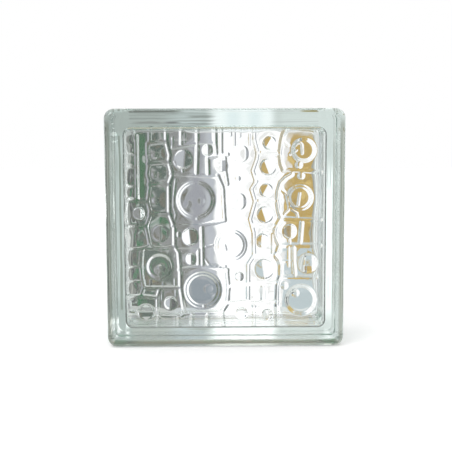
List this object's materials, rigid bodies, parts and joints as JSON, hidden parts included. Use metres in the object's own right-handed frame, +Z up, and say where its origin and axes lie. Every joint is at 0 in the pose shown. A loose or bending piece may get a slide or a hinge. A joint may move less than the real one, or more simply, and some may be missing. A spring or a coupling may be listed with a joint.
{
  "type": "glass block",
  "caption": "Square hollow pressed-glass building block with a recessed mortar key and a relief of ribs, lenses and roundels.",
  "frame": {"origin": "centre of the block's footprint, at the level it stands on", "axes": "+Z up, -Y out of the front face, +X to the right as seen from the front"},
  "size_m": [0.19, 0.08, 0.19],
  "materials": {
    "glass": "clear fire-polished soda-lime glass with a pale green tint, IOR 1.52"
  },
  "bodies": {
    "root": {"front_half": "glass", "back_half": "glass"}
  },
  "joints": []
}
